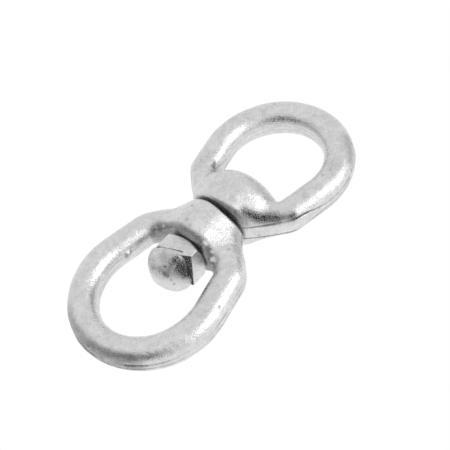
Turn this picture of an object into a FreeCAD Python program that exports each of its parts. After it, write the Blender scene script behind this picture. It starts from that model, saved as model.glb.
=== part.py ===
"""An eye-and-eye anchor swivel: two forged, galvanised eyes that turn on each other about a shank.

Millimetres and degrees. X runs along the swivel axis towards the shank eye, Z is normal to the
plane of both eyes, and the origin is on the axis at the middle of the overall length.

The body eye is a bow whose two legs run into a bored boss. The shank eye is the same bow on a
bulged shoulder, then a plain shank that turns in the boss, and a thinner tenon that takes a
square nut. The end of the tenon is peened over the nut into a dome, so the two eyes can't come
apart.

Each body is drawn with its own +X pointing away from the running gap. The body eye and the nut
are then turned round.
"""

import FreeCAD, Part

import math
import os

import Sketcher

DIMENSIONS = {
    # the bow, the same on both eyes
    "overall_length": 110.0,
    "inner_width": 31.5,
    "bar_width": 9.5,
    "bar_height": 10.0,
    "bar_corner": 4.3,
    # the bend where a leg turns in to the middle, and the buried end of the leg
    "bend_x": 17.0,
    "bend_y": 11.0,
    "bend_radius": 7.0,
    "root_x": 1.5,
    "root_y": 4.1,
    "leg_blend": 3.0,
    # the boss of the body eye
    "bearing_x": 0.9,
    "neck_radius": 9.4,
    "neck_edge": 1.5,
    "neck_bevel": 2.0,
    "neck_swing": 16.0,
    "neck_clearance": 8.0,
    "swell_radius": 36.0,
    "boss_radius": 10.4,
    "boss_edge": 2.7,
    "boss_face_x": 12.0,
    "bore_radius": 4.85,
    "bore_chamfer": 0.6,
    # the middle of the shank eye
    "end_gap": 0.3,
    "bulge_x": 10.0,
    "bulge_radius": 11.0,
    "bulge_swell": 40.0,
    "bulge_nose": 12.0,
    "bulge_tip_x": 18.7,
    "shank_radius": 4.8,
    "tenon_radius": 3.8,
    # the square nut
    "nut_flats": 11.8,
    "nut_corner_radius": 8.2,
    "nut_height": 6.4,
    "nut_base_radius": 6.0,
    "nut_base_chamfer": 1.3,
    "nut_crown_radius": 7.2,
    "nut_crown_chamfer": 2.0,
    "nut_bore_radius": 3.85,
    "nut_bore_chamfer": 0.4,
    # the peened dome, off centre as a hammer leaves it
    "dome_radius": 8.2,
    "dome_height": 8.2,
    "dome_offset": 1.0,
}

TURNED_ROUND = FreeCAD.Placement(FreeCAD.Vector(0, 0, 0), FreeCAD.Rotation(FreeCAD.Vector(0, 0, 1), 180))

DOC = FreeCAD.newDocument("anchor_swivel")
ORIGIN = -1
X_AXIS = -1
Y_AXIS = -2
START, END, CENTRE = 1, 2, 3
PARALLEL = 0.9999  # least cosine at which two directions count as parallel
MIRROR_GAIN = 1.9  # least growth of the volume when half a bow is mirrored


def make_sheet():
    sheet = DOC.addObject("Spreadsheet::Sheet", "dims")
    for row, (name, value) in enumerate(DIMENSIONS.items(), start=1):
        sheet.set(f"A{row}", name)
        sheet.set(f"B{row}", str(value))
        sheet.setAlias(f"B{row}", name)
    DOC.recompute()
    return sheet


SHEET = make_sheet()


def dim(name):
    """The value that the sheet holds for a driving dimension."""
    return float(getattr(SHEET, name))


def vec(x, y, z=0.0):
    return FreeCAD.Vector(x, y, z)


# ---------------------------------------------------------------- bodies and sketches


def new_body(label):
    body = DOC.addObject("PartDesign::Body", label)
    body.Label = label
    return body


def origin_plane(body, role):
    return next(item for item in body.Origin.OriginFeatures if item.Role == role)


def new_sketch(body, name, role="XY_Plane"):
    sketch = body.newObject("Sketcher::SketchObject", name)
    sketch.AttachmentSupport = [(origin_plane(body, role), "")]
    sketch.MapMode = "FlatFace"
    return sketch


def constrain(sketch, kind, *where):
    return sketch.addConstraint(Sketcher.Constraint(kind, *where))


def measure(sketch, name, expression, kind, *where):
    """Add a dimension, name it, and bind it to an expression over the sheet."""
    index = constrain(sketch, kind, *where)
    sketch.renameConstraint(index, name)
    sketch.setExpression(f"Constraints.{name}", expression)


def value_of(expression):
    """The number that an expression over the sheet gives now."""
    return float(SHEET.evalExpression(expression))


def place(sketch, name, item, point, x=None, y=None):
    """Hold a point at a distance from the sketch's origin, for each of x and y that has an expression."""
    for axis, expression in (("X", x), ("Y", y)):
        if expression is None:
            continue
        value = value_of(expression)
        if value:
            measure(sketch, f"{name}_{axis.lower()}", expression,
                    f"Distance{axis}", ORIGIN, START, item, point, value)
        else:
            constrain(sketch, "PointOnObject", item, point, Y_AXIS if axis == "X" else X_AXIS)


def arc(centre, start, end):
    """The anticlockwise arc about centre from start to end."""
    circle = Part.Circle(centre, vec(0, 0, 1), centre.distanceToPoint(start))
    return Part.ArcOfCircle(circle, circle.parameter(start), circle.parameter(end))


def polygon(body, name, corners, role="XY_Plane"):
    """Sketch of straight lines through corners, each a pair of expressions over the sheet."""
    sketch = new_sketch(body, name, role)
    points = [vec(value_of(x), value_of(y)) for x, y in corners]
    for start, end in zip(points, points[1:] + points[:1]):
        sketch.addGeometry(Part.LineSegment(start, end), False)
    for item, (x, y) in enumerate(corners):
        constrain(sketch, "Coincident", item, START, (item - 1) % len(corners), END)
        place(sketch, f"corner{item}", item, START, x=x, y=y)
    return sketch


def revolve(body, name, sketch, axis="H_Axis", cut=False):
    """Turn a profile all the way round one of its axes, as added or cut material."""
    kind = "PartDesign::Groove" if cut else "PartDesign::Revolution"
    before = body.Shape.Volume
    feature = body.newObject(kind, name)
    feature.Profile = sketch
    feature.ReferenceAxis = (sketch, [axis])
    feature.Angle = 360
    DOC.recompute()
    changed = feature.Shape.Volume - before
    if (changed < 0) != cut:
        raise RuntimeError(f"{name} changed the volume by {changed:.3f} mm3")
    return feature


# ---------------------------------------------------------------- the bow that both eyes share


def bow_section(body):
    """Rounded bar section at the crown, across the start of the centre line."""
    sketch = new_sketch(body, "BarSection", "XZ_Plane")
    crown = dim("overall_length") / 2 - dim("bar_width") / 2
    half_width = dim("bar_width") / 2
    half_height = dim("bar_height") / 2
    corner = dim("bar_corner")
    signs = ((1, -1), (1, 1), (-1, 1), (-1, -1))
    centres = [vec(crown + sx * (half_width - corner), sy * (half_height - corner)) for sx, sy in signs]
    for index, (centre, (sx, sy)) in enumerate(zip(centres, signs)):
        start_angle = index * math.pi / 2 - math.pi / 2
        circle = Part.Circle(centre, vec(0, 0, 1), corner)
        sketch.addGeometry(Part.ArcOfCircle(circle, start_angle, start_angle + math.pi / 2), False)
    for index in range(4):
        start = sketch.getPoint(index, END)
        end = sketch.getPoint((index + 1) % 4, START)
        sketch.addGeometry(Part.LineSegment(start, end), False)
    for index in range(4):
        line = index + 4
        following = (index + 1) % 4
        constrain(sketch, "Tangent", index, END, line, START)
        constrain(sketch, "Tangent", line, END, following, START)
    for line in (4, 6):
        constrain(sketch, "Vertical", line)
    for line in (5, 7):
        constrain(sketch, "Horizontal", line)
    for index in range(1, 4):
        constrain(sketch, "Equal", 0, index)
    measure(sketch, "corner", "dims.bar_corner", "Radius", 0, corner)
    measure(sketch, "outside", "dims.overall_length / 2", "DistanceX",
            ORIGIN, START, 4, START, crown + half_width)
    measure(sketch, "inside", "dims.overall_length / 2 - dims.bar_width", "DistanceX",
            ORIGIN, START, 6, START, crown - half_width)
    measure(sketch, "top", "dims.bar_height / 2", "DistanceY", ORIGIN, START, 5, START, half_height)
    measure(sketch, "bottom", "dims.bar_height / 2", "DistanceY", 7, START, ORIGIN, START, half_height)
    return sketch


def tangent_points(centre_a, radius_a, centre_b, radius_b):
    """Where the outer tangent line touches two circles, for a path that runs anticlockwise round both."""
    across = centre_b - centre_a
    angle = math.atan2(across.y, across.x) - math.acos((radius_a - radius_b) / across.Length)
    normal = vec(math.cos(angle), math.sin(angle))
    return centre_a + normal * radius_a, centre_b + normal * radius_b


def bow_line(body):
    """Centre line of half a bow: crown arc, straight leg, bend, and the buried end of the leg."""
    sketch = new_sketch(body, "HalfBowLine")
    bow_radius = dim("inner_width") / 2 + dim("bar_width") / 2
    bow_centre = vec(dim("overall_length") / 2 - dim("bar_width") / 2 - bow_radius, 0)
    bend_centre = vec(dim("bend_x"), dim("bend_y"))
    bend_radius = dim("bend_radius")
    root = vec(dim("root_x"), dim("root_y"))
    crown = bow_centre + vec(bow_radius, 0)
    leg_start, leg_end = tangent_points(bow_centre, bow_radius, bend_centre, bend_radius)
    toward = root - bend_centre
    turn = math.atan2(toward.y, toward.x) - math.acos(bend_radius / toward.Length)
    bend_end = bend_centre + vec(math.cos(turn), math.sin(turn)) * bend_radius

    sketch.addGeometry(arc(bow_centre, crown, leg_start), False)
    sketch.addGeometry(Part.LineSegment(leg_start, leg_end), False)
    sketch.addGeometry(arc(bend_centre, leg_end, bend_end), False)
    sketch.addGeometry(Part.LineSegment(bend_end, root), False)
    for item in range(3):
        constrain(sketch, "Tangent", item, END, item + 1, START)
    constrain(sketch, "PointOnObject", 0, CENTRE, X_AXIS)
    constrain(sketch, "PointOnObject", 0, START, X_AXIS)
    place(sketch, "crown", 0, START, x="dims.overall_length / 2 - dims.bar_width / 2")
    measure(sketch, "bow_radius", "dims.inner_width / 2 + dims.bar_width / 2", "Radius", 0, bow_radius)
    place(sketch, "bend", 2, CENTRE, x="dims.bend_x", y="dims.bend_y")
    measure(sketch, "bend_radius", "dims.bend_radius", "Radius", 2, bend_radius)
    place(sketch, "root", 3, END, x="dims.root_x", y="dims.root_y")
    return sketch


def add_bow(body):
    """Sweep half of the bow along its centre line and mirror it across the swivel axis."""
    section = bow_section(body)
    line = bow_line(body)
    half = body.newObject("PartDesign::AdditivePipe", "HalfBow")
    half.Profile = section
    half.Spine = line
    half.Mode = "Standard"
    DOC.recompute()
    whole = body.newObject("PartDesign::Mirrored", "WholeBow")
    whole.Originals = [half]
    whole.MirrorPlane = (origin_plane(body, "XZ_Plane"), [""])
    body.Tip = whole
    DOC.recompute()
    if whole.Shape.Volume < half.Shape.Volume * MIRROR_GAIN:
        raise RuntimeError("the bow wasn't mirrored")
    return whole


def is_turned(face):
    """Whether a face is turned about the swivel axis, or square to it."""
    surface = face.Surface
    if surface.TypeId == "Part::GeomSurfaceOfRevolution":
        return abs(surface.Direction.x) > PARALLEL
    return abs(getattr(surface, "Axis", vec(0, 0, 1)).x) > PARALLEL


def blend_legs(body):
    """Round the hollow where each leg runs into the turned middle, as a forging die leaves it."""
    base = body.Tip
    seams = []
    for index, edge in enumerate(base.Shape.Edges, start=1):
        faces = base.Shape.ancestorsOfType(edge, Part.Face)
        beyond_neck = edge.BoundBox.XMax > dim("bearing_x") + dim("neck_bevel")
        if beyond_neck and len(faces) == 2 and is_turned(faces[0]) != is_turned(faces[1]):
            seams.append(f"Edge{index}")
    blend = body.newObject("PartDesign::Fillet", "LegBlend")
    blend.Base = (base, seams)
    blend.setExpression("Radius", "dims.leg_blend")
    DOC.recompute()
    if blend.Shape.Volume <= base.Shape.Volume:
        raise RuntimeError("the leg blends added nothing")


# ---------------------------------------------------------------- the body eye


def boss_profile(body):
    """Half section of the boss: end face, swelling side, straight band, rounded inner edge, inner face."""
    sketch = new_sketch(body, "BossProfile")
    bearing = -dim("bearing_x")
    face = dim("boss_face_x")
    boss_radius = dim("boss_radius")
    boss_edge = dim("boss_edge")
    neck_radius = dim("neck_radius")
    neck_edge = dim("neck_edge")
    swell = dim("swell_radius")
    # the neck edge touches the end face and the swell from inside
    neck_centre = vec(bearing + neck_edge, neck_radius - neck_edge)
    reach = swell - neck_edge
    drop = boss_radius - swell - neck_centre.y
    swell_centre = vec(neck_centre.x + math.sqrt(reach ** 2 - drop ** 2), boss_radius - swell)
    outward = (neck_centre - swell_centre).normalize()
    neck_end = neck_centre + outward * neck_edge
    crest = vec(swell_centre.x, boss_radius)
    edge_centre = vec(face - boss_edge, boss_radius - boss_edge)

    outline = [
        Part.LineSegment(vec(face, 0), vec(face, edge_centre.y)),
        arc(edge_centre, vec(face, edge_centre.y), vec(edge_centre.x, boss_radius)),
        Part.LineSegment(vec(edge_centre.x, boss_radius), crest),
        arc(swell_centre, crest, neck_end),
        arc(neck_centre, neck_end, vec(bearing, neck_centre.y)),
        Part.LineSegment(vec(bearing, neck_centre.y), vec(bearing, 0)),
    ]
    for item in outline:
        sketch.addGeometry(item, False)
    sketch.addGeometry(Part.LineSegment(vec(bearing, 0), vec(face, 0)), False)
    for item in range(5):
        constrain(sketch, "Tangent", item, END, item + 1, START)
    constrain(sketch, "Coincident", 5, END, 6, START)
    constrain(sketch, "Coincident", 6, END, 0, START)
    constrain(sketch, "PointOnObject", 6, START, X_AXIS)
    constrain(sketch, "PointOnObject", 6, END, X_AXIS)
    for item in (0, 5):
        constrain(sketch, "Vertical", item)
    constrain(sketch, "Horizontal", 2)
    place(sketch, "face", 0, START, x="dims.boss_face_x")
    place(sketch, "crest", 2, START, y="dims.boss_radius")
    measure(sketch, "bearing", "dims.bearing_x", "DistanceX", 6, START, ORIGIN, START, -bearing)
    measure(sketch, "edge", "dims.boss_edge", "Radius", 1, boss_edge)
    measure(sketch, "swell", "dims.swell_radius", "Radius", 3, swell)
    measure(sketch, "neck_edge", "dims.neck_edge", "Radius", 4, neck_edge)
    place(sketch, "neck", 4, CENTRE, y="dims.neck_radius - dims.neck_edge")
    return sketch


def bore_corners(start, end, radius, chamfer):
    """Corners of the half section of a bore along X, with a chamfer at each mouth. All are expressions."""
    return [
        (start, "0"),
        (end, "0"),
        (end, f"{radius} + {chamfer}"),
        (f"{end} - {chamfer}", radius),
        (f"{start} + {chamfer}", radius),
        (start, f"{radius} + {chamfer}"),
    ]


def trim_neck(body, face):
    """Turn the neck end true: a flat face, and a bevel that runs out on the legs."""
    corners = [
        (face, "0"),
        (face, "dims.neck_radius - dims.neck_edge"),
        (f"{face} + dims.neck_bevel", "dims.neck_radius + dims.neck_bevel"),
        (f"{face} + dims.neck_bevel", "dims.neck_swing"),
        (f"{face} - dims.neck_clearance", "dims.neck_swing"),
        (f"{face} - dims.neck_clearance", "0"),
    ]
    return revolve(body, "NeckTurning", polygon(body, "NeckProfile", corners), cut=True)


def make_body_eye():
    body = new_body("body_eye")
    add_bow(body)
    revolve(body, "Boss", boss_profile(body))
    trim_neck(body, "-dims.bearing_x")
    blend_legs(body)
    bore = bore_corners("-dims.bearing_x", "dims.boss_face_x", "dims.bore_radius", "dims.bore_chamfer")
    revolve(body, "Bore", polygon(body, "BoreProfile", bore), cut=True)
    body.Placement = TURNED_ROUND
    return body


# ---------------------------------------------------------------- the shank eye


def shoulder_profile(body, face):
    """Half section of the bulged shoulder: neck face, swelling side, crest, blunt nose inside the opening."""
    sketch = new_sketch(body, "ShoulderProfile")
    face_x = value_of(face)
    nose = dim("bulge_nose")
    swell = dim("bulge_swell")
    crest = vec(dim("bulge_x"), dim("bulge_radius"))
    tip = vec(dim("bulge_tip_x"), 0)
    nose_centre = vec(tip.x - nose, 0)
    # the crest arc is level at the crest and touches the nose arc from inside
    level = crest.x - nose_centre.x
    crest_radius = (nose ** 2 - crest.y ** 2 - level ** 2) / (2 * (nose - crest.y))
    crest_centre = vec(crest.x, crest.y - crest_radius)
    junction = nose_centre + (crest_centre - nose_centre).normalize() * nose
    swell_centre = vec(crest.x, crest.y - swell)
    neck = vec(face_x, swell_centre.y + math.sqrt(swell ** 2 - (crest.x - face_x) ** 2))
    outline = [
        arc(nose_centre, tip, junction),
        arc(crest_centre, junction, crest),
        arc(swell_centre, crest, neck),
        Part.LineSegment(neck, vec(face_x, 0)),
        Part.LineSegment(vec(face_x, 0), tip),
    ]
    for item in outline:
        sketch.addGeometry(item, False)
    for item in (0, 1):
        constrain(sketch, "Tangent", item, END, item + 1, START)
    for item in (2, 3, 4):
        constrain(sketch, "Coincident", item, END, (item + 1) % 5, START)
    constrain(sketch, "PointOnObject", 0, CENTRE, X_AXIS)
    constrain(sketch, "Vertical", 1, CENTRE, 1, END)
    constrain(sketch, "Vertical", 3)
    place(sketch, "tip", 0, START, x="dims.bulge_tip_x", y="0")
    place(sketch, "crest", 1, END, x="dims.bulge_x", y="dims.bulge_radius")
    place(sketch, "face", 3, END, x=face, y="0")
    measure(sketch, "nose", "dims.bulge_nose", "Radius", 0, nose)
    measure(sketch, "swell", "dims.bulge_swell", "Radius", 2, swell)
    return sketch


def set_off_centre(sketch, side):
    """Move a sketch to the dome's own axis, off to +Y and -Z of the swivel axis, and add that axis."""
    sketch.setExpression("AttachmentOffset.Base.z", "-dims.dome_offset")
    level = f"{side} * dims.dome_offset"
    axis = sketch.GeometryCount
    height = value_of(level)
    length = dim("dome_radius")
    sketch.addGeometry(Part.LineSegment(vec(0, height), vec(length, height)), True)
    place(sketch, "axis_start", axis, START, x="0", y=level)
    place(sketch, "axis_end", axis, END, x="dims.dome_radius", y=level)


def dome_profile(body, base):
    """Half section of the peened dome, a little more than half a ball, with its flat side on the nut."""
    sketch = new_sketch(body, "DomeProfile")
    base_x = value_of(base)
    radius = dim("dome_radius")
    level = dim("dome_offset")
    apex = vec(base_x - dim("dome_height"), level)
    centre = vec(apex.x + radius, level)
    rim = vec(base_x, level - math.sqrt(radius ** 2 - (base_x - centre.x) ** 2))
    sketch.addGeometry(Part.LineSegment(vec(base_x, level), apex), False)
    sketch.addGeometry(arc(centre, apex, rim), False)
    sketch.addGeometry(Part.LineSegment(rim, vec(base_x, level)), False)
    for item in range(3):
        constrain(sketch, "Coincident", item, END, (item + 1) % 3, START)
    constrain(sketch, "PointOnObject", 1, CENTRE, 0)
    constrain(sketch, "Horizontal", 0)
    constrain(sketch, "Vertical", 2)
    place(sketch, "base", 0, START, x=base, y="dims.dome_offset")
    place(sketch, "apex", 0, END, x=f"{base} - dims.dome_height")
    measure(sketch, "radius", "dims.dome_radius", "Radius", 1, radius)
    set_off_centre(sketch, 1)
    return sketch


def make_shank_eye():
    body = new_body("shank_eye")
    face = "dims.bearing_x + dims.end_gap"
    seat = "-dims.boss_face_x - dims.end_gap"
    nut_end = f"{seat} - dims.nut_height"
    add_bow(body)
    revolve(body, "Shoulder", shoulder_profile(body, face))
    blend_legs(body)
    trim_neck(body, face)
    shank = [
        (f"{face} + dims.neck_bevel", "0"),
        (f"{face} + dims.neck_bevel", "dims.shank_radius"),
        (seat, "dims.shank_radius"),
        (seat, "dims.tenon_radius"),
        (f"{nut_end} - dims.dome_height / 2", "dims.tenon_radius"),
        (f"{nut_end} - dims.dome_height / 2", "0"),
    ]
    revolve(body, "Shank", polygon(body, "ShankProfile", shank))
    revolve(body, "PeenedDome", dome_profile(body, nut_end), axis="Axis0")
    return body


# ---------------------------------------------------------------- the square nut


def make_square_nut():
    """The nut starts at its seat face and grows along its own +X, away from the boss."""
    body = new_body("square_nut")
    half = "dims.nut_flats / 2"
    square = [(half, half), (f"-{half}", half), (f"-{half}", f"-{half}"), (half, f"-{half}")]
    blank = body.newObject("PartDesign::Pad", "Blank")
    blank.Profile = polygon(body, "SquareProfile", square, "YZ_Plane")
    blank.setExpression("Length", "dims.nut_height")
    DOC.recompute()
    outside = "dims.nut_flats"
    base = [
        ("0", "dims.nut_base_radius"),
        ("dims.nut_base_chamfer", "dims.nut_corner_radius"),
        ("dims.nut_base_chamfer", outside),
        ("0", outside),
    ]
    revolve(body, "BaseChamfer", polygon(body, "BaseProfile", base), cut=True)
    rise = "-1 * dims.dome_offset"
    crown_start = "dims.nut_height - dims.nut_crown_chamfer"
    crown_widest = "dims.nut_crown_radius + dims.nut_crown_chamfer"
    crown = [
        ("dims.nut_height", f"dims.nut_crown_radius + {rise}"),
        ("dims.nut_height", f"{outside} + {rise}"),
        (crown_start, f"{outside} + {rise}"),
        (crown_start, f"{crown_widest} + {rise}"),
    ]
    crown_sketch = polygon(body, "CrownProfile", crown)
    set_off_centre(crown_sketch, -1)
    revolve(body, "CrownChamfer", crown_sketch, axis="Axis0", cut=True)
    bore = bore_corners("0", "dims.nut_height", "dims.nut_bore_radius", "dims.nut_bore_chamfer")
    revolve(body, "NutBore", polygon(body, "NutBoreProfile", bore), cut=True)
    body.Placement = TURNED_ROUND
    body.setExpression("Placement.Base.x", "-dims.boss_face_x - dims.end_gap")
    return body


# ---------------------------------------------------------------- build, check and write


def check_document():
    for item in DOC.Objects:
        if "Invalid" in item.State or "Error" in item.State:
            raise RuntimeError(f"{item.Name} failed: {item.State}")


def write(body):
    shape = body.Shape
    if shape.isNull() or not shape.isValid() or len(shape.Solids) != 1:
        raise RuntimeError(f"{body.Label} isn't one valid solid")
    shape.exportStep(os.path.join("parts", f"{body.Label}.step"))
    box = shape.optimalBoundingBox()
    size = ", ".join(f"{value:.2f}" for value in (box.XMin, box.XMax, box.YMin, box.YMax, box.ZMin, box.ZMax))
    print(f"{body.Label}: {shape.Volume:.0f} mm3, box {size}")


def main():
    bodies = [make_body_eye(), make_shank_eye(), make_square_nut()]
    DOC.recompute()
    check_document()
    os.makedirs("parts", exist_ok=True)
    for body in bodies:
        write(body)


main()
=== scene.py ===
# Looks of the anchor swivel: two forged eyes joined by a swivelling shank that a square nut
# and a peened dome hold in the boss of the first eye. Shapes are written as distance fields
# in millimetres, turned into fine meshes, and finished as hot-dip zinc on forged steel.
import math

import bpy
import numpy as np
from mathutils import Matrix, Vector


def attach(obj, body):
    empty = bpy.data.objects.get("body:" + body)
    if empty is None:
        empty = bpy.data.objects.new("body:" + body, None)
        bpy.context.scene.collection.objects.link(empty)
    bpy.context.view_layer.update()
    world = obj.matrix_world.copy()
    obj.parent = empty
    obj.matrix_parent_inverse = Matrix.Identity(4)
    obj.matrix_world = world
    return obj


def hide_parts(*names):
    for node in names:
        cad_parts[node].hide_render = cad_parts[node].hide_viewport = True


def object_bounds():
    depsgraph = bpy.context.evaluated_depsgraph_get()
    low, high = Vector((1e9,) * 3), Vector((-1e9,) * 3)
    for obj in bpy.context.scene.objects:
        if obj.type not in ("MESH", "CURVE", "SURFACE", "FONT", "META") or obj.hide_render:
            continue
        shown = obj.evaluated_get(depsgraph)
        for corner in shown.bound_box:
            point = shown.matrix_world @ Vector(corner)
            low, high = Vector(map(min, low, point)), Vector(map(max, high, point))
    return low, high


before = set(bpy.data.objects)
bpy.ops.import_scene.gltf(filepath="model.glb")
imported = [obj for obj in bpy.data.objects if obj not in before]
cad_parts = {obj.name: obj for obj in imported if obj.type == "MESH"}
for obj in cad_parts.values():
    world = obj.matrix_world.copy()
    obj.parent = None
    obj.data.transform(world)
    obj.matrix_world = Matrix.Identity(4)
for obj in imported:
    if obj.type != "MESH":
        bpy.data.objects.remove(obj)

CAD_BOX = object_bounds()
MM = 0.001

# ---------------------------------------------------------------- dimensions, in millimetres
# The swivel axis is X and both eyes lie in the XY plane. The bow and the boss of the first eye
# are described with the crown towards +X, like the second eye, and first_eye() turns them round.
# A pair of numbers in brackets that is passed on to ease() says where a change starts and ends.
CROWN_X = round(CAD_BOX[1][0] / MM, 1)
HALF_WIDTH = round(CAD_BOX[1][1] / MM, 2)
LEG_WIDTH = 9.5
BAR_HEIGHT = 10.0
BAR_CORNER = 4.3
FIRST_BAR = {"crown": 8.8, "leg": LEG_WIDTH}
SECOND_BAR = {"crown": 9.9, "leg": LEG_WIDTH}
BAR_CHANGE = (32.0, 48.0)
BOW_RADIUS = HALF_WIDTH - LEG_WIDTH / 2
BOW_CENTRE = (CROWN_X - HALF_WIDTH, 0.0)
BEND = (17.0, 11.0)
BEND_RADIUS = 7.0
ROOT = (1.5, 4.1)
ROOT_ROUND = 2.0

# the boss of the first eye: a swelling barrel, rounder at the inner face than at the neck
BOSS_RADIUS = 10.5
BOSS_WIDEST_X = 9.0
BOSS_SWELL = 60.0
BOSS_NARROWING = 0.07
BOSS_NARROW_Y = (2.0, -8.0)
BOSS_NARROW_X = (8.0, 0.0)
BOSS_WIDENING = 0.04
BOSS_WIDENING_X = 1.0
BOSS_END_X = -0.9
BOSS_END_ROUND = 0.4
BOSS_FACE_X = 12.0
BOSS_FACE_ROUND = 2.7
BOSS_BLEND = 4.2
BOSS_WEB_X = 10.5
BOSS_WEB_REACH = (5.0, 15.0, 6.6)
BOSS_WEB_BLEND = 2.0
FIRST_TRIM_ROUND = 1.0
BORE_RADIUS = 5.0
BORE_END_X = 14.0

# the gap between the eyes opens into a wedge towards this direction in the YZ plane
GAP_SIDE = (-0.62, 0.78)
GAP_EDGE = (0.68, 0.98)
GAP_OPENING = 1.0

# beads of zinc on the first eye as it lies: x, y, z and radius
BEAD_BLEND = 0.8
BEADS = (
    (-24.3, 15.2, 0.8, 1.0),
    (-12.3, 9.6, 4.4, 0.6),
    (-13.4, 12.2, 3.2, 0.5),
    (-11.3, -6.9, 6.9, 0.5),
    (-13.0, -11.0, 3.2, 1.4),
    (-11.7, -9.8, 5.0, 0.45),
)

# the bulged shoulder of the second eye, the collar at its neck and the cheeks beside it
ONION_X = 9.5
ONION_REACH = (8.7, 13.2, 11.3)
ONION_STRETCH = 3.0
ONION_SKEW = 1.13
WEB_X = 9.0
WEB_REACH = (8.2, 18.2, 7.6)
ONION_BLEND = 3.0
BULGE_BLEND = 1.3
COLLAR_X = 1.2
COLLAR_RADIUS = 10.8
COLLAR_NARROWING = 2.1
COLLAR_NARROW_Y = (-4.0, -10.0)
COLLAR_SLOPE = math.radians(73)
COLLAR_CONE_ROUND = 1.2
COLLAR_ROUND = 0.6
CHEEK_Y = 9.6
CHEEK_SLOPE = math.radians(50)
CHEEK_ROUND = 1.5
SECOND_TRIM_ROUND = 0.8

# the hidden shank and tenon, which run on into the solids at their ends by the lap
SHANK_RADIUS = 4.7
TENON_RADIUS = 3.7
ROD_LAP = 2.0

NUT_SEAT_X = -12.3
NUT_END_X = -19.8
NUT_HALF_FLATS = 5.9
NUT_BORE_RADIUS = 3.8
NUT_EDGE = 0.3
NUT_BASE_RADIUS = 6.0
NUT_BASE_SLOPE = math.radians(60)
NUT_SWEEP = 8.1
NUT_GAP = 0.25
NUT_END_ROUND = 0.8
NUT_DOME_GAP = 0.04
# the slanted face that hammering left on the nut's end
NUT_END_POINT = (-16.2, -5.9, 5.9)
NUT_END_NORMAL = (-0.88, -0.42, 0.21)

# the peened dome: its lip, and the side towards -Y that is cut off flat
DOME_CENTRE = (-19.6, 1.3, -0.9)
DOME_REACH = (6.8, 6.8, 6.9)
DOME_SQUARE = 3.6
DOME_LIP_X = -16.8
DOME_LIP_Y = -1.0
DOME_LIP_SLANT = 0.35
DOME_LIP_ROUND = 0.15
DOME_SIDE = 4.7
DOME_SIDE_NORMAL = (-0.98, 0.21)
DOME_SIDE_ROUND = 1.0


# ---------------------------------------------------------------- distance fields
TINY = 1e-3  # keeps a division away from nought


def round_max(a, b, radius):
    """The common part of two fields, with its corner rounded."""
    beyond = np.hypot(np.maximum(a + radius, 0), np.maximum(b + radius, 0))
    return np.minimum(-radius, np.maximum(a, b)) + beyond


def round_min(a, b, radius):
    """Two fields joined, with a fillet of this radius between them."""
    within = np.hypot(np.maximum(radius - a, 0), np.maximum(radius - b, 0))
    return np.maximum(radius, np.minimum(a, b)) - within


def ease(value, start, end):
    """0 at start, 1 at end, smooth between. The end may be below the start."""
    t = np.clip((value - start) / (end - start), 0, 1)
    return t * t * (3 - 2 * t)


def tangent_normal(first, second, first_radius, second_radius):
    """The outward normal of the outer tangent line from one circle to the next."""
    between = np.subtract(second, first)
    turn = math.acos((first_radius - second_radius) / math.hypot(*between))
    angle = math.atan2(between[1], between[0]) - turn
    return math.cos(angle), math.sin(angle)


LEG_NORMAL = tangent_normal(BOW_CENTRE, BEND, BOW_RADIUS, BEND_RADIUS)
ROOT_NORMAL = tangent_normal(BEND, ROOT, BEND_RADIUS, 0.0)


def across(x, y, start, normal):
    """How far a point lies along a normal from start."""
    return (x - start[0]) * normal[0] + (y - start[1]) * normal[1]


def along(x, y, start, normal):
    """How far a point has gone from start, at right angles to a normal."""
    return (y - start[1]) * normal[0] - (x - start[0]) * normal[1]


def bow_offset(x, y):
    """How far a point is outside the bow's centre line, and how far past the leg's root."""
    y = np.abs(y)
    crown = np.hypot(x - BOW_CENTRE[0], y) - BOW_RADIUS
    leg = across(x, y, BOW_CENTRE, LEG_NORMAL) - BOW_RADIUS
    bend = np.hypot(x - BEND[0], y - BEND[1]) - BEND_RADIUS
    root = across(x, y, ROOT, ROOT_NORMAL)
    offset = np.where(along(x, y, BOW_CENTRE, LEG_NORMAL) < 0, crown, leg)
    offset = np.where(along(x, y, BEND, LEG_NORMAL) > 0, bend, offset)
    on_root = along(x, y, BEND, ROOT_NORMAL) > 0
    offset = np.where(on_root, root, offset)
    past = np.where(on_root, along(x, y, ROOT, ROOT_NORMAL), -BOW_RADIUS)
    return offset, past


def bow(x, y, z, bar):
    """The bent bar of one eye, whose thickness changes at its crown on the inner side."""
    offset, past = bow_offset(x, y)
    change = (bar["crown"] - bar["leg"]) * ease(x, *BAR_CHANGE)
    side = np.abs(offset + change / 2) - (bar["leg"] + change) / 2 + BAR_CORNER
    top = np.abs(z) - BAR_HEIGHT / 2 + BAR_CORNER
    corner = np.hypot(np.maximum(side, 0), np.maximum(top, 0))
    section = corner + np.minimum(np.maximum(side, top), 0) - BAR_CORNER
    return round_max(section, past, ROOT_ROUND)


def ellipsoid(x, y, z, reach):
    """The distance to an ellipsoid at the origin, good near its surface."""
    near = np.sqrt((x / reach[0]) ** 2 + (y / reach[1]) ** 2 + (z / reach[2]) ** 2)
    steep = np.sqrt((x / reach[0] ** 2) ** 2 + (y / reach[1] ** 2) ** 2 + (z / reach[2] ** 2) ** 2)
    return near * (near - 1) / np.maximum(steep, TINY)


def rod(x, radius, rod_radius, start_x, end_x):
    """A round rod on the axis, for points at this radius from it."""
    return np.maximum(radius - rod_radius, np.maximum(start_x - x, x - end_x))


def gap_side(y, z):
    """1 on the side where the gap between the eyes opens into a wedge, 0 on the other side."""
    toward = (GAP_SIDE[0] * y + GAP_SIDE[1] * z) / np.maximum(np.hypot(y, z), TINY)
    return ease(toward, *GAP_EDGE)


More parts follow.
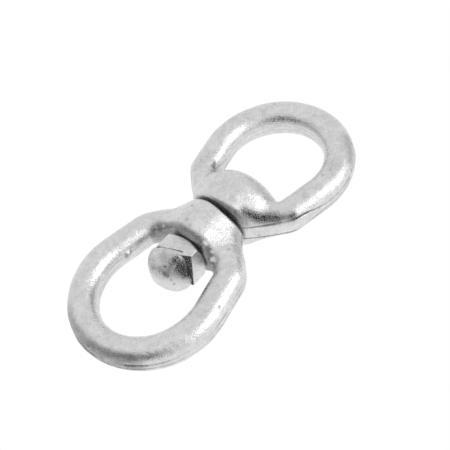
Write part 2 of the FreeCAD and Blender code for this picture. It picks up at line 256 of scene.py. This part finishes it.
def boss(x, y, z):
    """The barrel of the first eye and the web beside it, with its edges well rounded."""
    narrow = BOSS_NARROWING * ease(y, *BOSS_NARROW_Y) * ease(x, *BOSS_NARROW_X)
    widening = BOSS_WIDENING * ease(x, BOSS_WIDENING_X, BOSS_FACE_X)
    radius = np.hypot(y * (1 + narrow - widening), z)
    swelling = np.hypot(x - BOSS_WIDEST_X, radius + BOSS_SWELL - BOSS_RADIUS) - BOSS_SWELL
    side = np.where(x < BOSS_WIDEST_X, swelling, radius - BOSS_RADIUS)
    web = ellipsoid(x - BOSS_WEB_X, y, z, BOSS_WEB_REACH)
    end_round = BOSS_END_ROUND + GAP_OPENING * gap_side(y, z)
    barrel = round_max(round_min(side, web, BOSS_WEB_BLEND), BOSS_END_X - x, end_round)
    return round_max(barrel, x - BOSS_FACE_X, BOSS_FACE_ROUND)


def nut_cone(x, y, z):
    """The cone at the base of the nut, which clears its corners where they would rub."""
    outward = (np.hypot(y, z) - NUT_BASE_RADIUS) * math.cos(NUT_BASE_SLOPE)
    return outward + (x - NUT_SEAT_X) * math.sin(NUT_BASE_SLOPE)


def nut_room(x, y, z):
    """The space that the nut sweeps as it turns, and a gap all round it."""
    ends = np.maximum(x - NUT_SEAT_X, NUT_END_X - x)
    sides = np.maximum(nut_cone(x, y, z), np.hypot(y, z) - NUT_SWEEP)
    return np.maximum(ends, sides) - NUT_GAP


def first_eye(x, y, z):
    """The eye with the bored boss, its beads of zinc, and room for the nut to turn."""
    radius = np.hypot(y, z)
    solid = round_min(bow(-x, y, z, FIRST_BAR), boss(-x, y, z), BOSS_BLEND)
    solid = round_max(solid, BOSS_END_X + x, FIRST_TRIM_ROUND)
    for bead_x, bead_y, bead_z, bead_radius in BEADS:
        bead = np.sqrt((x - bead_x) ** 2 + (y - bead_y) ** 2 + (z - bead_z) ** 2) - bead_radius
        solid = round_min(solid, bead, BEAD_BLEND)
    solid = np.maximum(solid, np.minimum(BORE_RADIUS - radius, BORE_END_X + x))
    return np.maximum(solid, -nut_room(x, y, z))


def bulge(x, y, z):
    """The onion-shaped shoulder and the web beside it, coned down to a flat collar."""
    ahead = x - ONION_X
    skewed = np.where(y > 0, y * ONION_SKEW, y)
    onion = ellipsoid(np.where(ahead < 0, ahead / ONION_STRETCH, ahead), skewed, z, ONION_REACH)
    web = ellipsoid(x - WEB_X, y, z, WEB_REACH)
    onion = round_min(onion, web, ONION_BLEND)
    collar = COLLAR_RADIUS - COLLAR_NARROWING * np.maximum(gap_side(y, z), ease(y, *COLLAR_NARROW_Y))
    cone = (np.hypot(y, z) - collar) * math.cos(COLLAR_SLOPE)
    cone = cone - (x - COLLAR_X) * math.sin(COLLAR_SLOPE)
    return round_max(round_max(onion, cone, COLLAR_CONE_ROUND), COLLAR_X - x, COLLAR_ROUND)


def dome(x, y, z):
    """The peened head of the shank: a square dome that spreads over the end of the nut."""
    wide = np.abs(y - DOME_CENTRE[1]) / DOME_REACH[1]
    high = np.abs(z - DOME_CENTRE[2]) / DOME_REACH[2]
    square = (wide ** DOME_SQUARE + high ** DOME_SQUARE) ** (1 / DOME_SQUARE)
    beyond = np.minimum(x - DOME_CENTRE[0], 0) / DOME_REACH[0]
    head = (np.hypot(beyond, square) - 1) * min(DOME_REACH)
    lip = x - DOME_LIP_X + DOME_LIP_SLANT * (y - DOME_LIP_Y)
    lip = lip / math.hypot(1, DOME_LIP_SLANT)
    side = DOME_SIDE_NORMAL[0] * y + DOME_SIDE_NORMAL[1] * z - DOME_SIDE
    return round_max(round_max(head, side, DOME_SIDE_ROUND), lip, DOME_LIP_ROUND)


def second_eye(x, y, z):
    """The eye whose shank goes through the boss, with the peened dome at the shank's end."""
    radius = np.hypot(y, z)
    solid = round_min(bow(x, y, z, SECOND_BAR), bulge(x, y, z), BULGE_BLEND)
    cheek = (np.abs(y) - CHEEK_Y) * math.cos(CHEEK_SLOPE) - (x - COLLAR_X) * math.sin(CHEEK_SLOPE)
    solid = round_max(solid, cheek, CHEEK_ROUND)
    solid = round_max(solid, COLLAR_X - x, SECOND_TRIM_ROUND)
    shank = rod(x, radius, SHANK_RADIUS, NUT_SEAT_X, COLLAR_X + ROD_LAP)
    tenon = rod(x, radius, TENON_RADIUS, DOME_LIP_X - ROD_LAP, 0.0)
    return np.minimum(np.minimum(solid, np.minimum(shank, tenon)), dome(x, y, z))


def square_nut(x, y, z):
    """The square nut, coned at its base and hammered at a slant at its end."""
    flats = round_max(np.abs(y) - NUT_HALF_FLATS, np.abs(z) - NUT_HALF_FLATS, NUT_EDGE)
    slant = sum((p - q) * n for p, q, n in zip((x, y, z), NUT_END_POINT, NUT_END_NORMAL))
    solid = round_max(round_max(flats, nut_cone(x, y, z), NUT_EDGE), slant, NUT_EDGE / 2)
    solid = np.maximum(round_max(solid, NUT_END_X - x, NUT_END_ROUND), x - NUT_SEAT_X)
    solid = np.maximum(solid, NUT_BORE_RADIUS - np.hypot(y, z))
    return np.maximum(solid, NUT_DOME_GAP - dome(x, y, z))


def everything(x, y, z):
    """All three pieces together."""
    return np.minimum(np.minimum(first_eye(x, y, z), second_eye(x, y, z)), square_nut(x, y, z))


# ---------------------------------------------------------------- meshing
FLATTEST = 0.25  # the least squared slope that settle() divides by, so that no step is huge


def field_at(field, points):
    """The field's value at each point of an array of x, y, z rows."""
    return field(points[:, 0], points[:, 1], points[:, 2])


def sample(field, low, high, step):
    """The field on a grid, and where the grid starts."""
    axes = [np.arange(a, b + step, step, dtype=np.float32) for a, b in zip(low, high)]
    x, y, z = np.meshgrid(*axes, indexing="ij")
    return field(x, y, z), np.array([axis[0] for axis in axes])


def surface_net(values, start, step):
    """A quad mesh round the region where the grid values are negative."""
    shape = np.array(values.shape)
    cells, crossings, quads = [], [], []
    for axis in range(3):
        near = [slice(None)] * 3
        far = [slice(None)] * 3
        near[axis] = slice(None, -1)
        far[axis] = slice(1, None)
        a = values[tuple(near)]
        b = values[tuple(far)]
        edge = np.argwhere((a < 0) != (b < 0))
        from_value = a[tuple(edge.T)]
        to_value = b[tuple(edge.T)]
        crossing = edge.astype(float)
        crossing[:, axis] += from_value / (from_value - to_value)
        second, third = (axis + 1) % 3, (axis + 2) % 3
        ring = []
        for step_second, step_third in ((-1, -1), (0, -1), (0, 0), (-1, 0)):
            cell = edge.copy()
            cell[:, second] += step_second
            cell[:, third] += step_third
            ring.append(np.ravel_multi_index(tuple(cell.T), shape))
            crossings.append(crossing)
        cells.extend(ring)
        quad = np.stack(ring, axis=1)
        leaving = from_value < 0
        quads.append(np.where(leaving[:, None], quad, quad[:, ::-1]))
    names, place = np.unique(np.concatenate(cells), return_inverse=True)
    every = np.concatenate(crossings)
    count = np.bincount(place)
    points = [np.bincount(place, weights=every[:, axis]) / count for axis in range(3)]
    points = np.stack(points, axis=1) * step + start
    return points, np.searchsorted(names, np.concatenate(quads))


def slope(field, points, reach=0.02):
    """The gradient of the field at each point."""
    parts = []
    for axis in range(3):
        shift = np.zeros(3)
        shift[axis] = reach
        rise = field_at(field, points + shift) - field_at(field, points - shift)
        parts.append(rise / (2 * reach))
    return np.stack(parts, axis=1)


def settle(field, points, rounds=2):
    """Moves the points onto the surface of the field."""
    for _ in range(rounds):
        gradient = slope(field, points)
        size = np.maximum((gradient ** 2).sum(axis=1), FLATTEST)
        points = points - gradient * (field_at(field, points) / size)[:, None]
    return points


def relax(points, quads):
    """Moves each point to the middle of its neighbours."""
    start = np.concatenate([quads[:, i] for i in range(4)] * 2)
    end = np.concatenate([quads[:, (i + turn) % 4] for turn in (1, 3) for i in range(4)])
    count = np.bincount(start, minlength=len(points))
    middles = []
    for axis in range(3):
        total = np.bincount(start, weights=points[end, axis], minlength=len(points))
        middles.append(total / count)
    return np.stack(middles, axis=1)


def sculpt(field, low, high, step):
    """The surface of a field as evenly spread points, quads and normals."""
    values, start = sample(field, low, high, step)
    points, quads = surface_net(values, start, step)
    points = settle(field, points)
    for _ in range(2):
        points = settle(field, relax(points, quads), 1)
    points = settle(field, points, 1)
    normals = slope(field, points)
    normals /= np.linalg.norm(normals, axis=1, keepdims=True)
    return points, quads, normals


# ---------------------------------------------------------------- surface detail
TABLE_SIZE = 32
TABLE_START = 100.0

# swellings of the forged skin: height and width
SKIN = ((0.14, 12.0), (0.05, 4.5), (0.02, 1.5))

# the inner side of the bow is smoother, gets less painted shade in its parting groove, and its ridges are
# plainer
INNER_SIDE = (-2.0, 6.0)
INNER_SMOOTHING = 0.75
INNER_SHADE_CUT = 0.6

# the parting line: how far it wanders, over what length, and how much it comes and goes
SEAM_WANDER = 0.22
SEAM_WANDER_LENGTH = 8.0
SEAM_PLAIN = 0.65
SEAM_PLAIN_SWING = 0.9
SEAM_PLAIN_LENGTH = 5.0
SEAM_PLAINEST = 1.3
SEAM_FACING = (0.25, 0.55)

# the trimmed flash along the parting line is wider at the second eye's shoulder
SHOULDER_X = (24.0, 13.0)
FLASH_HALF = 0.55
FLASH_WIDENING = 1.7
FLASH_EDGE = 0.15
FLASH_HEIGHT = 0.16
GROOVE_BEYOND = 0.35
GROOVE_WIDTH = 0.26
GROOVE_DEPTH = 0.18
GROOVE_DEEPENING = 0.6
# shade painted in the groove beside the flash, and how much darker it is painted at the shoulder
GROOVE_SHADE = 0.45
GROOVE_DARKENING = 1.3

MARK_HEIGHT = 0.035
MARK_WIDTH = 0.5
MARK_LENGTH = 14.0
MARK_FACING = (0.3, 0.9)
MARK_ON_OUTSIDE = 0.3
FINE_MARKS = 0.6
FINE_MARK_SCALE = (2, 2, 1.5)

PIT_COUNT = 26
PIT_RADIUS = (0.3, 0.6)
PIT_DEPTH = (0.08, 0.2)
# how much shade is painted into the pits
PIT_SHADE = 2.5
BOSS_PITS = ((-8.6, 1.4, 10.4), (-9.8, -0.9, 10.4))
# how much shade is painted into the dome's pits
DOME_PIT_SHADE = 5.0
DOME_PITS = (
    (-24.2, -3.6, 1.7),
    (-24.0, -3.9, -0.5),
    (-24.2, -2.9, 3.2),
    (-24.6, -1.2, 0.4),
    (-23.0, -1.0, 5.0),
)

# how near another surface has to be for shade to be painted in a corner or a gap, and how much is painted
CREVICE = 1.2
NUT_CREVICE = 0.8
CORNER = 3.5
FIRST_CREVICE_SHADE = 0.08
SECOND_CREVICE_SHADE = 0.3
NUT_CREVICE_SHADE = 0.4
CORNER_SHADE = 0.5
CORNER_X = (3.0, 5.0)

# painted shade on the faces of the neck across the gap
NECK_SHADE = 0.3
NECK_TURN = (0.55, 0.85)
NECK_FRONT_X = (3.8, 2.6)
NECK_BACK_X = (0.0, 1.0)

# how patchy the painted shade and the darker trails of the second eye are
PATCHY = 0.75
PATCHY_SWING = 0.3
PATCHY_LENGTH = 3.0

# darker trails painted on the second eye's shoulder, leg and dome: start, end, radius and strength; the
# last two paint a dark reflection across the dome where the bright panel would glint
DARK_TRAILS = (
    ((4.0, -9.6, 7.5), (5.8, -13.2, 5.2), 1.7, 1.15),
    ((5.8, -13.2, 5.2), (9.7, -17.3, 4.0), 1.8, 1.15),
    ((9.7, -17.3, 4.0), (13.0, -20.4, 3.4), 1.3, 1.15),
    ((15.6, 13.6, 3.6), (16.6, 14.9, 3.3), 1.1, 1.15),
    ((47.0, -16.0, 4.4), (39.5, -22.6, 2.8), 1.8, 0.4),
    ((-19.6, -2.6, 5.4), (-19.6, -4.2, 3.2), 1.5, 1.15),
    ((-19.6, -4.2, 3.2), (-19.0, -4.8, 0.2), 1.4, 1.15),
)

# the dome, and the dark reflection painted as a band across it
DOME_FROM_X = (-16.0, -17.5)
DOME_SKIN = ((0.10, 3.2), (0.05, 1.3))
DOME_MIDDLE = (-21.5, -1.4, 5.3)
DOME_BAND = (-0.83, 0.27, -0.48)
DOME_BAND_WIDTH = 2.1
DOME_BAND_Y = (5.0, 0.0)
DOME_BAND_DARKENING = 0.75

# painted shade on the inner face of the boss round the nut, and on the nut's slanted hammered end
FACE_TURN = (0.25, 0.7)
FACE_X = (-8.0, -10.5)
FACE_RADIUS = (18.0, 14.0)
FACE_SHADE = 0.45
FACE_SHADE_SWING = 0.12
FACE_SHADE_LENGTH = 1.6
NUT_SKIN = ((0.05, 4.0), (0.015, 1.2))
NUT_SKIN_RADIUS = (4.2, 5.4)
NUT_END_TURN = (0.8, 0.93)
NUT_END_SHADE = 0.95


def lumps(points, size, seed):
    """Smooth random swellings between about -1 and 1, this many millimetres across."""
    table = np.random.default_rng(seed).uniform(-1, 1, (TABLE_SIZE,) * 3)
    scaled = points / size + TABLE_START
    corner = np.floor(scaled).astype(int)
    part = scaled - corner
    part = part ** 3 * (part * (part * 6 - 15) + 10)  # a fade that is smooth in its curvature too
    total = np.zeros(len(points))
    for step in np.ndindex(2, 2, 2):
        i, j, k = ((corner + step) % TABLE_SIZE).T
        weight = np.abs(1 - np.array(step) - part)
        total += weight[:, 0] * weight[:, 1] * weight[:, 2] * table[i, j, k]
    return total


def layered(points, layers, seed):
    """Lumps of several heights and widths, one on the other."""
    return sum(height * lumps(points, width, seed + n) for n, (height, width) in enumerate(layers))


def pits(points, count, spots, seed):
    """Small craters, some at chosen spots and the rest spread at random."""
    random = np.random.default_rng(seed)
    centres = [np.array(spot) for spot in spots]
    centres += [points[index] for index in random.integers(0, len(points), count)]
    depth = np.zeros(len(points))
    for centre in centres:
        radius = random.uniform(*PIT_RADIUS)
        distance = np.linalg.norm(points - centre, axis=1)
        depth += random.uniform(*PIT_DEPTH) * np.exp(-(distance / radius) ** 2)
    return depth


def parting_line(points, normals, seed):
    """How far along Z a point is from the wandering parting line, and how plain the line is."""
    wander = SEAM_WANDER * lumps(points, SEAM_WANDER_LENGTH, seed)
    plain = SEAM_PLAIN + SEAM_PLAIN_SWING * lumps(points, SEAM_PLAIN_LENGTH, seed + 1)
    facing = ease(1 - np.abs(normals[:, 2]), *SEAM_FACING)
    return np.abs(points[:, 2] - wander), np.clip(plain, 0.0, SEAM_PLAINEST) * facing


def draw_marks(points, seed):
    """Fine ridges that run along the bar, left by forging and trimming."""
    offset, _ = bow_offset(np.abs(points[:, 0]), points[:, 1])
    turn = np.arctan2(points[:, 1], np.abs(points[:, 0]) - BOW_CENTRE[0]) * BOW_RADIUS
    strip = np.stack([offset / MARK_WIDTH, points[:, 2] / MARK_WIDTH, turn / MARK_LENGTH], axis=1)
    return lumps(strip, 1.0, seed) + FINE_MARKS * lumps(strip * FINE_MARK_SCALE, 1.0, seed + 1)


def forged(points, normals, side, spots, seed):
    """How far the forged skin stands proud of the plain shape, and how much shade is painted into it.

    Side is 1 for the second eye and -1 for the first, which has no widened shoulder.
    """
    height = layered(points, SKIN, seed)
    inward = (side * BOW_CENTRE[0] - points[:, 0]) * normals[:, 0] - points[:, 1] * normals[:, 1]
    inner = ease(inward, *INNER_SIDE)
    off, plain = parting_line(points, normals, seed + 3)
    shoulder = ease(side * points[:, 0], *SHOULDER_X) * max(side, 0)
    half = FLASH_HALF + FLASH_WIDENING * shoulder
    flash = 0.5 * (1 - np.tanh((off - half) / FLASH_EDGE))
    groove = np.exp(-((off - half - GROOVE_BEYOND) / GROOVE_WIDTH) ** 2)
    groove = groove * (1 + GROOVE_DEEPENING * shoulder)
    height += (FLASH_HEIGHT * flash - GROOVE_DEPTH * groove) * plain * (1 - INNER_SMOOTHING * inner)
    marks = draw_marks(points, seed + 7) * ease(1 - np.abs(normals[:, 2]), *MARK_FACING)
    height += MARK_HEIGHT * marks * (MARK_ON_OUTSIDE + (1 - MARK_ON_OUTSIDE) * inner)
    holes = pits(points, PIT_COUNT, spots, seed + 5)
    # shade painted into the parting groove and into the pits
    seam_shade = GROOVE_SHADE * groove * plain * (1 - INNER_SHADE_CUT * inner)
    return height - holes, seam_shade * (1 + GROOVE_DARKENING * shoulder) + PIT_SHADE * holes


def clear_of(points, field, start=0.35, end=1.6):
    """0 next to a field's surface and 1 well away from it."""
    return ease(field_at(field, points), start, end)


def shelter(points, normals, reach):
    """0 where the surface is open, towards 1 in a corner or a gap, where shade is painted."""
    seen = field_at(everything, points + normals * reach)
    return 1 - np.clip(seen / reach, 0, 1)


def trail(points, start, end, radius):
    """1 along the straight line from start to end, fading out over the radius."""
    line = np.subtract(end, start)
    share = np.clip((points - start) @ line / (line @ line), 0, 1)
    from_line = np.linalg.norm(points - start - share[:, None] * line, axis=1)
    return np.exp(-(from_line / radius) ** 2)


def dark_trails(points):
    """How dark the painted trails are."""
    trails = [strength * trail(points, start, end, radius) for start, end, radius, strength in DARK_TRAILS]
    return np.max(trails, axis=0)


def dome_band(points):
    """The dark reflection painted as a band across the dome, which fades out towards +Y."""
    off = (points - np.array(DOME_MIDDLE)) @ np.array(DOME_BAND)
    return np.exp(-(off / DOME_BAND_WIDTH) ** 2) * ease(points[:, 1], *DOME_BAND_Y)


def face_shade(points, normals):
    """Shade painted on the inner face of the boss, round the nut."""
    turned = ease(-normals[:, 0], *FACE_TURN)
    from_axis = np.hypot(points[:, 1], points[:, 2])
    near = ease(points[:, 0], *FACE_X) * ease(from_axis, *FACE_RADIUS)
    return turned * near * (FACE_SHADE + FACE_SHADE_SWING * lumps(points, FACE_SHADE_LENGTH, 17))


def neck_face(points, normals):
    """1 on the narrow faces of the second eye that look at the boss across the gap."""
    turned = ease(-normals[:, 0], *NECK_TURN)
    return turned * ease(points[:, 0], *NECK_FRONT_X) * ease(points[:, 0], *NECK_BACK_X)


# ---------------------------------------------------------------- pieces
EYE_STEP = 0.3
NUT_STEP = 0.16
# the lowest and highest corner of the box in which each piece lies
FIRST_REGION = ((-57, -27, -12), (3, 27, 12))
SECOND_REGION = ((-29, -27, -13), (57, 27, 13))
NUT_REGION = ((-24, -7.5, -7.5), (-11, 7.5, 7.5))


def build_piece(name, body, node, points, quads, painted_darkness):
    """The mesh object of one piece, which rides on its body and replaces its CAD node."""
    mesh = bpy.data.meshes.new(name)
    mesh.from_pydata((points * MM).tolist(), [], quads.tolist())
    mesh.update()
    # painted shade and dark reflections, from 0 for none to 1 for nearly black
    attribute = mesh.attributes.new("painted_darkness", "FLOAT", "POINT")
    attribute.data.foreach_set("value", np.clip(painted_darkness, 0, 1).astype(np.float32))
    mesh.shade_smooth()
    piece = bpy.data.objects.new(name, mesh)
    bpy.context.collection.objects.link(piece)
    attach(piece, body)
    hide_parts(node)
    return piece


def make_first_eye():
    """The bored eye."""
    points, quads, normals = sculpt(first_eye, *FIRST_REGION, EYE_STEP)
    height, painted_darkness = forged(points, normals, -1, BOSS_PITS, 11)
    height = height * clear_of(points, second_eye) * clear_of(points, square_nut)
    # painted shade on the boss's inner face round the nut
    painted_darkness += face_shade(points, normals)
    # painted shade in the gaps and corners of the first eye
    painted_darkness += FIRST_CREVICE_SHADE * shelter(points, normals, CREVICE)
    points = points + normals * height[:, None]
    return build_piece("first_eye", "bored_eye", "body_eye", points, quads, painted_darkness)


def make_second_eye():
    """The eye with the shank and the dome, with shade painted in the neck and the corners, darker painted
    trails, and a painted dark reflection and painted shade in the pits on the dome.
    """
    points, quads, normals = sculpt(second_eye, *SECOND_REGION, EYE_STEP)
    x, y, z = points.T
    on_dome = ease(x, *DOME_FROM_X)
    height, painted_darkness = forged(points, normals, 1, (), 31)
    holes = pits(points, 0, DOME_PITS, 43)
    height = height * (1 - on_dome) + on_dome * layered(points, DOME_SKIN, 44) - holes
    height = height * clear_of(points, first_eye)

    patchy = PATCHY + PATCHY_SWING * lumps(points, PATCHY_LENGTH, 42)
    open_side = np.maximum(gap_side(y, z), ease(x, *CORNER_X)) * (1 - on_dome)
    # the dome drops the eye's painted groove and pit shade and takes shade painted into its own pits
    painted_darkness = painted_darkness * (1 - on_dome) + DOME_PIT_SHADE * holes
    # painted shade on the neck faces in the wedge of the gap
    painted_darkness += NECK_SHADE * neck_face(points, normals) * gap_side(y, z)
    # painted shade in the gaps and corners of the second eye, patchy in the corners on the open side
    painted_darkness += SECOND_CREVICE_SHADE * shelter(points, normals, CREVICE)
    painted_darkness += CORNER_SHADE * patchy * shelter(points, normals, CORNER) * open_side
    # darker painted trails, and the dark reflection painted as a band across the dome
    painted_darkness += patchy * (dark_trails(points) + DOME_BAND_DARKENING * on_dome * dome_band(points))
    points = points + normals * height[:, None]
    return build_piece("second_eye", "turning_eye", "shank_eye", points, quads, painted_darkness)


def make_nut():
    """The square nut."""
    points, quads, normals = sculpt(square_nut, *NUT_REGION, NUT_STEP)
    outside_bore = ease(np.hypot(points[:, 1], points[:, 2]), *NUT_SKIN_RADIUS)
    height = layered(points, NUT_SKIN, 51) * clear_of(points, first_eye) * outside_bore
    # painted shade on the nut's slanted hammered end
    painted_darkness = NUT_END_SHADE * ease(normals @ np.array(NUT_END_NORMAL), *NUT_END_TURN)
    # painted shade where the nut sits close to the boss and the dome
    painted_darkness += NUT_CREVICE_SHADE * shelter(points, normals, NUT_CREVICE)
    points = points + normals * height[:, None]
    return build_piece("nut", "turning_eye", "square_nut", points, quads, painted_darkness)


# ---------------------------------------------------------------- materials
SPANGLE = 2.4
BLUENESS = 1.005
RELIEF = 0.114


def add_node(tree, kind, inputs=None, **settings):
    """A shader node with its settings made and its inputs set or linked."""
    made = tree.nodes.new(kind)
    for name, value in settings.items():
        setattr(made, name, value)
    for name, value in (inputs or {}).items():
        if isinstance(value, bpy.types.NodeSocket):
            tree.links.new(value, made.inputs[name])
        else:
            made.inputs[name].default_value = value
    return made


def map_range(tree, value, low, high, to_low, to_high, **settings):
    """A value carried over from one range to another."""
    made = add_node(tree, "ShaderNodeMapRange", {
        "Value": value, "From Min": low, "From Max": high, "To Min": to_low, "To Max": to_high}, **settings)
    return made.outputs["Result"]


def combine(tree, operation, first, second):
    """Two values added, multiplied or compared."""
    made = add_node(tree, "ShaderNodeMath", {0: first, 1: second}, operation=operation)
    return made.outputs[0]


def noise(tree, place, millimetres, detail, roughness):
    """Fractal noise whose largest features are this wide."""
    made = add_node(tree, "ShaderNodeTexNoise", {
        "Vector": place, "Scale": 1 / (millimetres * MM), "Detail": detail, "Roughness": roughness})
    return made.outputs["Fac"]


def zinc(name, brightness, roughness, offset):
    """Hot-dip zinc: mottled, lightly spangled, grainy, and darker and duller where the painted_darkness
    attribute paints shade and dark reflections into the colour.
    """
    material = bpy.data.materials.new(name)
    material.use_nodes = True
    tree = material.node_tree
    tree.nodes.clear()
    place = add_node(tree, "ShaderNodeTexCoord").outputs["Object"]
    moved = add_node(tree, "ShaderNodeVectorMath", {0: place, 1: (offset, offset, offset)}, operation="ADD")
    place = moved.outputs[0]
    # the painted shade and dark reflections of the mesh, broken up by fine flecks
    painted_darkness = add_node(tree, "ShaderNodeAttribute", attribute_name="painted_darkness").outputs["Fac"]
    flecks = noise(tree, place, millimetres=0.35, detail=3.0, roughness=0.7)
    speckle = map_range(tree, flecks, 0.4, 0.6, 0.55, 1.25)
    painted_darkness = combine(tree, "MINIMUM", combine(tree, "MULTIPLY", painted_darkness, speckle), 1.0)

    clouds = noise(tree, place, millimetres=9.0, detail=4.0, roughness=0.6)
    mottle = noise(tree, place, millimetres=1.6, detail=3.0, roughness=0.65)
    grain = noise(tree, place, millimetres=0.45, detail=2.0, roughness=0.6)
    spangle = add_node(tree, "ShaderNodeTexVoronoi", {"Vector": place, "Scale": 1 / (SPANGLE * MM)})
    tilt = add_node(tree, "ShaderNodeSeparateColor", {"Color": spangle.outputs["Color"]}).outputs["Red"]

    # each pattern's own range, and how bright the zinc is at either end of it
    tone = brightness
    for pattern, low, high, at_low, at_high in (
        (clouds, 0.3, 0.7, 0.92, 1.05),
        (mottle, 0.3, 0.7, 0.86, 1.06),
        (tilt, 0.0, 1.0, 0.95, 1.03),
        (grain, 0.3, 0.7, 0.90, 1.07),
        # painted shade: the colour goes nearly black where the attribute is full
        (painted_darkness, 0.0, 1.0, 1.00, 0.06),
    ):
        tone = combine(tree, "MULTIPLY", map_range(tree, pattern, low, high, at_low, at_high), tone)
    blue = combine(tree, "MULTIPLY", tone, BLUENESS)
    colour = add_node(tree, "ShaderNodeCombineColor", {"Red": tone, "Green": tone, "Blue": blue})

    # the same for how much each pattern adds to the roughness
    rough = roughness
    for pattern, low, high, at_low, at_high in (
        (mottle, 0.3, 0.75, -0.06, 0.10),
        (clouds, 0.3, 0.70, -0.04, 0.06),
        (painted_darkness, 0.0, 1.00, 0.00, 0.45),
    ):
        rough = combine(tree, "ADD", map_range(tree, pattern, low, high, at_low, at_high), rough)

    relief = combine(tree, "ADD", mottle, grain)
    bump = add_node(tree, "ShaderNodeBump", {"Height": relief, "Strength": 1.0, "Distance": RELIEF * MM})
    surface = add_node(tree, "ShaderNodeBsdfPrincipled", {
        "Base Color": colour.outputs["Color"], "Metallic": 1.0, "Roughness": rough,
        "Normal": bump.outputs["Normal"]})
    add_node(tree, "ShaderNodeOutputMaterial", {"Surface": surface.outputs[0]})
    return material


# ---------------------------------------------------------------- stage, light and camera
WHITE = (1, 1, 1, 1)
FLOOR_Z = -27.0
FLOOR_HALF = 3000.0
SKY = 0.78
SKY_DARKEST = 0.03
# soft patches of the sky: azimuth, elevation, full within, gone beyond (degrees), how bright
LAMPS = (
    (-57, 32, 4, 28, 1.8),
    (-165, 23, 10, 38, -0.7),
    (150, 14, 8, 34, -0.42),
    (-16, 9, 3, 19, -0.4),
)

CAMERA_AZIMUTH = -124.956
CAMERA_ELEVATION = 49.711
CAMERA_ROLL = -17.960
CAMERA_DISTANCE = 233.5
CAMERA_LENS = 60.45
CAMERA_SHIFT = (0.0192, -0.0041)


def direction(azimuth, elevation):
    """The unit vector at an azimuth and an elevation in degrees."""
    a, e = math.radians(azimuth), math.radians(elevation)
    return math.cos(a) * math.cos(e), math.sin(a) * math.cos(e), math.sin(e)


def make_sky():
    """A pale studio: even light, one soft bright panel and three darker patches."""
    world = bpy.data.worlds.new("studio")
    bpy.context.scene.world = world
    world.use_nodes = True
    tree = world.node_tree
    tree.nodes.clear()
    toward = add_node(tree, "ShaderNodeTexCoord").outputs["Generated"]
    level = SKY
    for azimuth, elevation, inner, outer, strength in LAMPS:
        dot = add_node(tree, "ShaderNodeVectorMath", {0: toward, 1: direction(azimuth, elevation)},
                       operation="DOT_PRODUCT").outputs["Value"]
        patch = map_range(tree, dot, math.cos(math.radians(outer)), math.cos(math.radians(inner)),
                          0.0, strength, interpolation_type="SMOOTHSTEP")
        level = combine(tree, "ADD", patch, level)
    level = combine(tree, "MAXIMUM", level, SKY_DARKEST)
    seen = add_node(tree, "ShaderNodeLightPath").outputs["Is Camera Ray"]
    light = add_node(tree, "ShaderNodeBackground", {"Color": WHITE, "Strength": level})
    plain = add_node(tree, "ShaderNodeBackground", {"Color": WHITE, "Strength": 1.0})
    both = add_node(tree, "ShaderNodeMixShader", {0: seen, 1: light.outputs[0], 2: plain.outputs[0]})
    add_node(tree, "ShaderNodeOutputWorld", {"Surface": both.outputs[0]})


def table_top():
    """A white glow, a little weaker as a light than as a sight, and clear from below."""
    material = bpy.data.materials.new("table_top")
    material.use_nodes = True
    tree = material.node_tree
    tree.nodes.clear()
    seen = add_node(tree, "ShaderNodeLightPath").outputs["Is Camera Ray"]
    strength = map_range(tree, seen, 0, 1, 0.9, 1.0)
    glow = add_node(tree, "ShaderNodeEmission", {"Color": WHITE, "Strength": strength})
    clear = add_node(tree, "ShaderNodeBsdfTransparent")
    under = add_node(tree, "ShaderNodeNewGeometry").outputs["Backfacing"]
    both = add_node(tree, "ShaderNodeMixShader", {0: under, 1: glow.outputs[0], 2: clear.outputs[0]})
    add_node(tree, "ShaderNodeOutputMaterial", {"Surface": both.outputs[0]})
    return material


def make_floor():
    """A pale, plain floor under the swivel."""
    size = FLOOR_HALF * MM
    z = FLOOR_Z * MM
    mesh = bpy.data.meshes.new("floor")
    corners = [(-size, -size, z), (size, -size, z), (size, size, z), (-size, size, z)]
    mesh.from_pydata(corners, [], [(0, 1, 2, 3)])
    mesh.materials.append(table_top())
    floor = bpy.data.objects.new("floor", mesh)
    bpy.context.collection.objects.link(floor)


def make_camera():
    """A camera above the nut's side, rolled so that the swivel lies across the picture."""
    data = bpy.data.cameras.new("camera")
    data.lens = CAMERA_LENS
    data.sensor_width = 36.0
    data.shift_x, data.shift_y = CAMERA_SHIFT
    data.clip_start = 0.01
    data.clip_end = 20.0
    camera = bpy.data.objects.new("camera", data)
    bpy.context.collection.objects.link(camera)
    back = Vector(direction(CAMERA_AZIMUTH, CAMERA_ELEVATION))
    place = Matrix.Translation(back * CAMERA_DISTANCE * MM)
    level = back.to_track_quat("Z", "Y").to_matrix().to_4x4()
    camera.matrix_world = place @ level @ Matrix.Rotation(math.radians(CAMERA_ROLL), 4, "Z")
    bpy.context.scene.camera = camera


# ---------------------------------------------------------------- the scene
first = make_first_eye()
second = make_second_eye()
nut = make_nut()
first.data.materials.append(zinc("zinc_first_eye", brightness=0.85, roughness=0.27, offset=0.0))
second.data.materials.append(zinc("zinc_second_eye", brightness=0.85, roughness=0.27, offset=0.7))
nut.data.materials.append(zinc("zinc_nut", brightness=0.84, roughness=0.3, offset=1.9))
make_sky()
make_floor()
make_camera()
bpy.context.scene.view_settings.view_transform = "Standard"
